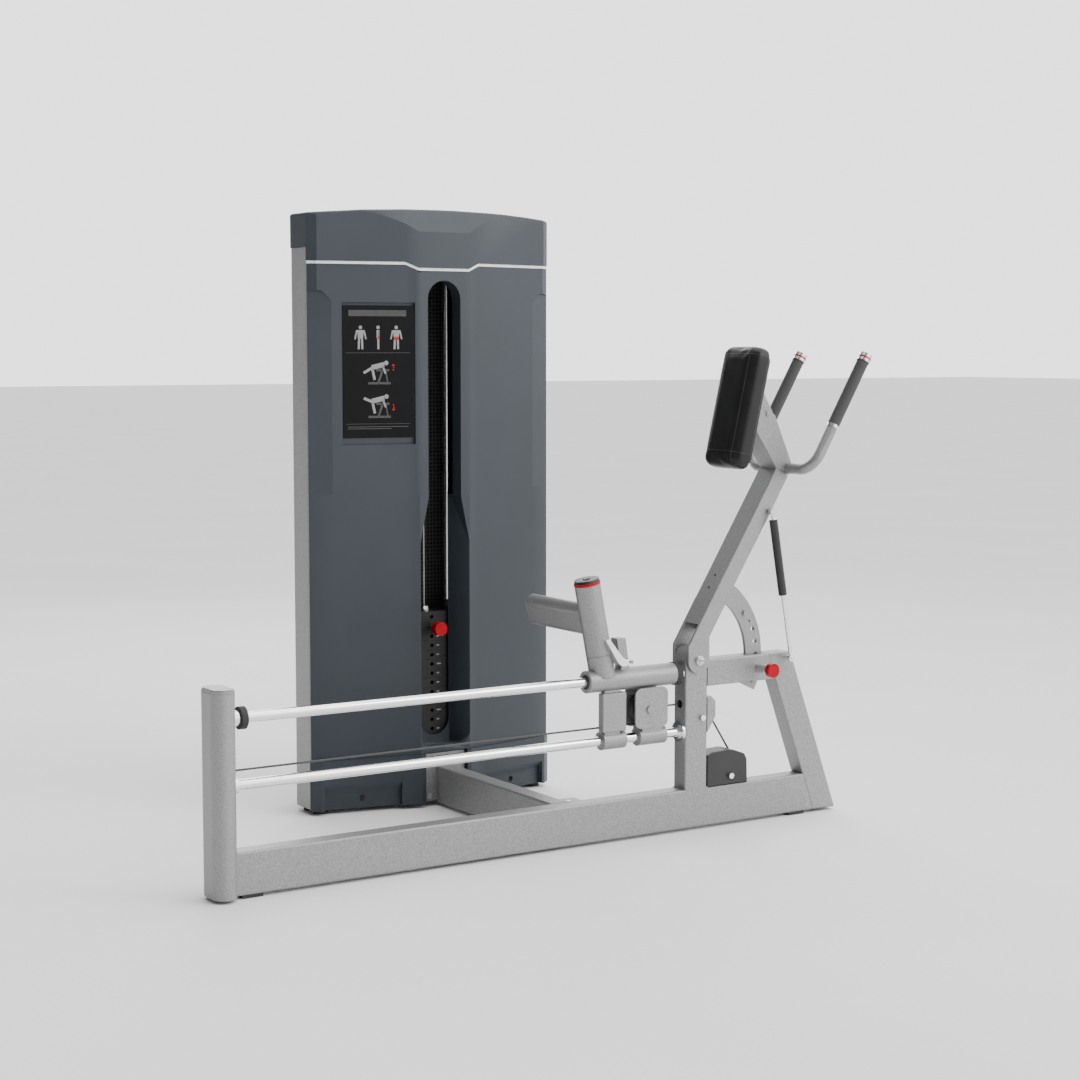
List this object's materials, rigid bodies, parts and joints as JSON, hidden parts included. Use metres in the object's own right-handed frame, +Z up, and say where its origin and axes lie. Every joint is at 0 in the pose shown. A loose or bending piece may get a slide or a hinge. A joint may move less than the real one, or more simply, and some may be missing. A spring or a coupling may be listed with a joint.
{
  "type": "standing rear-kick machine",
  "caption": "Selectorised gym machine: a rail frame with a sliding foot-bar carriage, an adjustable chest-pad arm with handles, and a shrouded weight tower.",
  "frame": {"origin": "centre of the footprint's bounding box, on the floor", "axes": "+X along the base rail from the front post to the rear leg; +Y towards the weight tower; +Z up"},
  "size_m": [1.8152, 0.977, 1.597],
  "materials": {
    "painted_frame": "satin",
    "painted_shroud": "satin",
    "chrome": "polished",
    "black_steel": "satin",
    "rubber": "matte",
    "black_plastic": "satin",
    "red_plastic": "gloss",
    "white_stripe": "satin",
    "placard_print": "gloss",
    "vinyl": "satin",
    "grip_foam": "matte",
    "cable_jacket": "satin"
  },
  "bodies": {
    "frame": {"front_post": "painted_frame", "post_cap": "painted_frame", "base_rail": "painted_frame", "upright": "painted_frame", "link_tube": "painted_frame", "rear_leg": "painted_frame", "cross_beam": "painted_frame", "beam_flange": "painted_frame", "frame_feet": "rubber", "rail_rods": "chrome", "rod_collars": "chrome", "rail_bumpers": "rubber", "pulley_cover": "black_plastic", "pulley_brackets": "painted_frame", "axle_bolts": "chrome", "cable_route": "cable_jacket", "tower_base": "painted_frame", "side_columns": "painted_frame", "top_beam": "painted_frame", "stack_rods": "chrome", "weight_plates": "black_steel", "stack_buffers": "rubber", "front_cover": "painted_shroud", "cover_stripe": "white_stripe", "placard": "placard_print", "rear_cover": "painted_shroud", "top_cap": "painted_shroud", "lift_cable": "cable_jacket", "cable_front_run": "cable_jacket", "cable_pull_run": "cable_jacket", "pin_barrel": "black_steel"},
    "carriage": {"carriage_housing": "painted_frame", "housing_bushes": "black_plastic", "foot_stub": "painted_frame", "carriage_plate": "painted_frame"},
    "foot_lever": {"foot_sleeve": "painted_frame", "sleeve_cap": "black_plastic", "foot_bar": "painted_frame"},
    "latch": {"latch_lever": "chrome"},
    "pulley_block": {"block_plates": "painted_frame"},
    "block_wheel": {"block_pulley": "black_plastic"},
    "upright_wheel": {"upright_pulley": "black_plastic"},
    "base_wheel": {"base_pulley": "black_plastic"},
    "corner_wheel": {"corner_pulley": "black_plastic"},
    "tower_low_wheel": {"tower_low_pulley": "black_plastic"},
    "tower_top_wheel": {"tower_top_pulley": "black_plastic"},
    "lifted_stack": {"head_plate": "black_steel", "selector_rod": "chrome", "first_plate": "black_steel"},
    "stack_pin": {"selector_pin": "red_plastic"},
    "pad_arm": {"arm_tube": "painted_frame", "arm_fork": "painted_frame", "sector_plate": "painted_frame", "handle_bars": "painted_frame", "grips": "grip_foam", "pad_board": "black_plastic", "chest_pad": "vinyl"},
    "gas_lower": {"gas_rod": "chrome"},
    "gas_upper": {"gas_cylinder": "black_steel"},
    "adjust_pin": {"pop_pin": "red_plastic"}
  },
  "joints": [
    {"name": "carriage_slide", "type": "slide", "parent": "frame", "child": "carriage", "axis": [-1, 0, 0], "range_m": [0, 0.915]},
    {"name": "foot_swivel", "type": "hinge", "parent": "carriage", "child": "foot_lever", "pos_m": [0.15979, -0.3415, 0.408], "axis": [-0.1959, 0, 0.9806], "range_deg": [0, 180]},
    {"name": "latch_pivot", "type": "hinge", "parent": "carriage", "child": "latch", "pos_m": [0.21238, -0.3725, 0.456], "axis": [0, 1, 0], "range_deg": [0, 20], "stiffness_Nm_per_rad": 0.5},
    {"name": "block_slide", "type": "slide", "parent": "frame", "child": "pulley_block", "axis": [-1, 0, 0], "range_m": [0, 0.4575], "deforming": ["cable_front_run", "cable_pull_run"]},
    {"name": "lifted_stack_slide", "type": "slide", "parent": "frame", "child": "lifted_stack", "axis": [0, 0, 1], "range_m": [0, 0.4575], "deforming": ["lift_cable"]},
    {"name": "selector_pin_pull", "type": "slide", "parent": "lifted_stack", "child": "stack_pin", "axis": [0, -1, 0], "range_m": [0, 0.06]},
    {"name": "pad_arm_tilt", "type": "hinge", "parent": "frame", "child": "pad_arm", "pos_m": [0.43139, -0.3415, 0.441], "axis": [0, 1, 0], "range_deg": [-9.5, 28.5]},
    {"name": "gas_spring_swing", "type": "hinge", "parent": "frame", "child": "gas_lower", "pos_m": [0.72139, -0.3885, 0.426], "axis": [0, 1, 0], "range_deg": [-14, 30]},
    {"name": "gas_spring_stroke", "type": "slide", "parent": "gas_lower", "child": "gas_upper", "axis": [-0.171, 0, 0.9853], "range_m": [-0.15, 0.055]},
    {"name": "adjust_pin_pull", "type": "slide", "parent": "frame", "child": "adjust_pin", "axis": [0, -1, 0], "range_m": [0, 0.012], "stiffness_N_per_m": 900, "springref_m": -0.004},
    {"name": "block_wheel_turn", "type": "hinge", "parent": "pulley_block", "child": "block_wheel", "pos_m": [0.28538, -0.3415, 0.327], "axis": [0, 1, 0], "range_deg": [-711, 0]},
    {"name": "upright_wheel_turn", "type": "hinge", "parent": "frame", "child": "upright_wheel", "pos_m": [0.44838, -0.3415, 0.291], "axis": [0, 1, 0], "range_deg": [-731, 0]},
    {"name": "base_wheel_turn", "type": "hinge", "parent": "frame", "child": "base_wheel", "pos_m": [0.53939, -0.3415, 0.131], "axis": [0, 1, 0], "range_deg": [-560, 0]},
    {"name": "corner_wheel_turn", "type": "hinge", "parent": "frame", "child": "corner_wheel", "pos_m": [0.07838, -0.3085, 0.084], "axis": [0, 0, 1], "range_deg": [0, 797]},
    {"name": "tower_low_wheel_turn", "type": "hinge", "parent": "frame", "child": "tower_low_wheel", "pos_m": [0.04539, 0.4435, 0.114], "axis": [1, 0, 0], "range_deg": [-876, 0]},
    {"name": "tower_top_wheel_turn", "type": "hinge", "parent": "frame", "child": "tower_top_wheel", "pos_m": [0.04539, 0.416, 1.5], "axis": [1, 0, 0], "range_deg": [-458, 0]}
  ],
  "couplings": [
    {"joint": "block_slide", "follows": "carriage_slide", "ratio": 0.5},
    {"joint": "lifted_stack_slide", "follows": "carriage_slide", "ratio": 0.5},
    {"joint": "gas_spring_swing", "follows": "pad_arm_tilt", "ratio": 0.95},
    {"joint": "gas_spring_stroke", "follows": "pad_arm_tilt", "m_per_rad": -0.28},
    {"joint": "block_wheel_turn", "follows": "carriage_slide", "rad_per_m": -13.514},
    {"joint": "upright_wheel_turn", "follows": "carriage_slide", "rad_per_m": -13.889},
    {"joint": "base_wheel_turn", "follows": "carriage_slide", "rad_per_m": -10.638},
    {"joint": "corner_wheel_turn", "follows": "carriage_slide", "rad_per_m": 15.152},
    {"joint": "tower_low_wheel_turn", "follows": "carriage_slide", "rad_per_m": -16.667},
    {"joint": "tower_top_wheel_turn", "follows": "carriage_slide", "rad_per_m": -8.6957}
  ]
}
